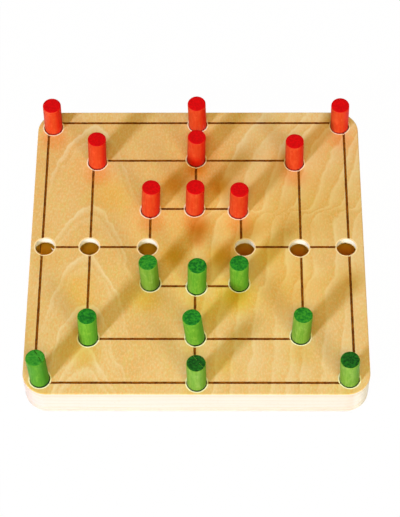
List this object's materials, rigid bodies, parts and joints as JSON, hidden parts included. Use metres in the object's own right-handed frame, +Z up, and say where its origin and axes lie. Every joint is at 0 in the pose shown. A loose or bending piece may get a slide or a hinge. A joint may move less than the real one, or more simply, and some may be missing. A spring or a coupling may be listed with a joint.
{
  "type": "nine men's morris box",
  "caption": "Shallow square wooden peg board box with a morris line pattern, drilled peg holes, red and green pegs, and a swivelling base that opens the storage hollow.",
  "frame": {"origin": "middle of the base plate's underside, on the surface that the box stands on", "axes": "+Z up through the board, +Y from the player with the green pegs towards the player with the red pegs, +X to the green player's right"},
  "size_m": [0.14, 0.14, 0.0317],
  "materials": {
    "plywood": "clear lacquered face over bare sanded edges",
    "beech_frame": "bare, sanded",
    "plywood_base": "bare, sanded",
    "red_stained_beech": "stained, matt",
    "green_stained_beech": "stained, matt",
    "zinc_plated_steel": "zinc plated"
  },
  "bodies": {
    "box": {"top_plate": "plywood", "frame": "beech_frame", "pivot_screw": "zinc_plated_steel"},
    "base": {"base_plate": "plywood_base"},
    "red_peg_outer_left": {"red_peg_outer_left": "red_stained_beech"},
    "red_peg_outer_centre": {"red_peg_outer_centre": "red_stained_beech"},
    "red_peg_outer_right": {"red_peg_outer_right": "red_stained_beech"},
    "red_peg_middle_left": {"red_peg_middle_left": "red_stained_beech"},
    "red_peg_middle_centre": {"red_peg_middle_centre": "red_stained_beech"},
    "red_peg_middle_right": {"red_peg_middle_right": "red_stained_beech"},
    "red_peg_inner_left": {"red_peg_inner_left": "red_stained_beech"},
    "red_peg_inner_centre": {"red_peg_inner_centre": "red_stained_beech"},
    "red_peg_inner_right": {"red_peg_inner_right": "red_stained_beech"},
    "green_peg_inner_left": {"green_peg_inner_left": "green_stained_beech"},
    "green_peg_inner_centre": {"green_peg_inner_centre": "green_stained_beech"},
    "green_peg_inner_right": {"green_peg_inner_right": "green_stained_beech"},
    "green_peg_middle_left": {"green_peg_middle_left": "green_stained_beech"},
    "green_peg_middle_centre": {"green_peg_middle_centre": "green_stained_beech"},
    "green_peg_middle_right": {"green_peg_middle_right": "green_stained_beech"},
    "green_peg_outer_left": {"green_peg_outer_left": "green_stained_beech"},
    "green_peg_outer_centre": {"green_peg_outer_centre": "green_stained_beech"},
    "green_peg_outer_right": {"green_peg_outer_right": "green_stained_beech"}
  },
  "joints": [
    {"name": "base_swivel", "type": "hinge", "parent": "box", "child": "base", "pos_m": [-0.0508, 0.062, 0.0016], "axis": [0, 0, 1], "range_deg": [-180, 180]},
    {"name": "red_peg_outer_left_lift", "type": "slide", "parent": "box", "child": "red_peg_outer_left", "axis": [0.0262, -0.0209, 0.9994], "range_m": [0, 0.03]},
    {"name": "red_peg_outer_centre_lift", "type": "slide", "parent": "box", "child": "red_peg_outer_centre", "axis": [-0.0192, -0.0558, 0.9983], "range_m": [0, 0.03]},
    {"name": "red_peg_outer_right_lift", "type": "slide", "parent": "box", "child": "red_peg_outer_right", "axis": [-0.0348, -0.0558, 0.9978], "range_m": [0, 0.03]},
    {"name": "red_peg_middle_left_lift", "type": "slide", "parent": "box", "child": "red_peg_middle_left", "axis": [0.0349, 0.0209, 0.9992], "range_m": [0, 0.03]},
    {"name": "red_peg_middle_centre_lift", "type": "slide", "parent": "box", "child": "red_peg_middle_centre", "axis": [0.0244, 0.0035, 0.9997], "range_m": [0, 0.03]},
    {"name": "red_peg_middle_right_lift", "type": "slide", "parent": "box", "child": "red_peg_middle_right", "axis": [-0.0244, -0.0174, 0.9995], "range_m": [0, 0.03]},
    {"name": "red_peg_inner_left_lift", "type": "slide", "parent": "box", "child": "red_peg_inner_left", "axis": [0.0471, 0.0192, 0.9987], "range_m": [0, 0.03]},
    {"name": "red_peg_inner_centre_lift", "type": "slide", "parent": "box", "child": "red_peg_inner_centre", "axis": [0.0279, -0.007, 0.9996], "range_m": [0, 0.03]},
    {"name": "red_peg_inner_right_lift", "type": "slide", "parent": "box", "child": "red_peg_inner_right", "axis": [0.0175, -0.0105, 0.9998], "range_m": [0, 0.03]},
    {"name": "green_peg_inner_left_lift", "type": "slide", "parent": "box", "child": "green_peg_inner_left", "axis": [-0.0297, -0.0017, 0.9996], "range_m": [0, 0.03]},
    {"name": "green_peg_inner_centre_lift", "type": "slide", "parent": "box", "child": "green_peg_inner_centre", "axis": [0.0244, 0.007, 0.9997], "range_m": [0, 0.03]},
    {"name": "green_peg_inner_right_lift", "type": "slide", "parent": "box", "child": "green_peg_inner_right", "axis": [-0.014, -0.014, 0.9998], "range_m": [0, 0.03]},
    {"name": "green_peg_middle_left_lift", "type": "slide", "parent": "box", "child": "green_peg_middle_left", "axis": [0.0227, 0.0297, 0.9993], "range_m": [0, 0.03]},
    {"name": "green_peg_middle_centre_lift", "type": "slide", "parent": "box", "child": "green_peg_middle_centre", "axis": [-0.075, -0.0122, 0.9971], "range_m": [0, 0.03]},
    {"name": "green_peg_middle_right_lift", "type": "slide", "parent": "box", "child": "green_peg_middle_right", "axis": [0.0209, 0.0192, 0.9996], "range_m": [0, 0.03]},
    {"name": "green_peg_outer_left_lift", "type": "slide", "parent": "box", "child": "green_peg_outer_left", "axis": [-0.0349, 0.0349, 0.9988], "range_m": [0, 0.03]},
    {"name": "green_peg_outer_centre_lift", "type": "slide", "parent": "box", "child": "green_peg_outer_centre", "axis": [-0.007, -0.007, 1], "range_m": [0, 0.03]},
    {"name": "green_peg_outer_right_lift", "type": "slide", "parent": "box", "child": "green_peg_outer_right", "axis": [-0.0454, -0.0227, 0.9987], "range_m": [0, 0.03]}
  ]
}
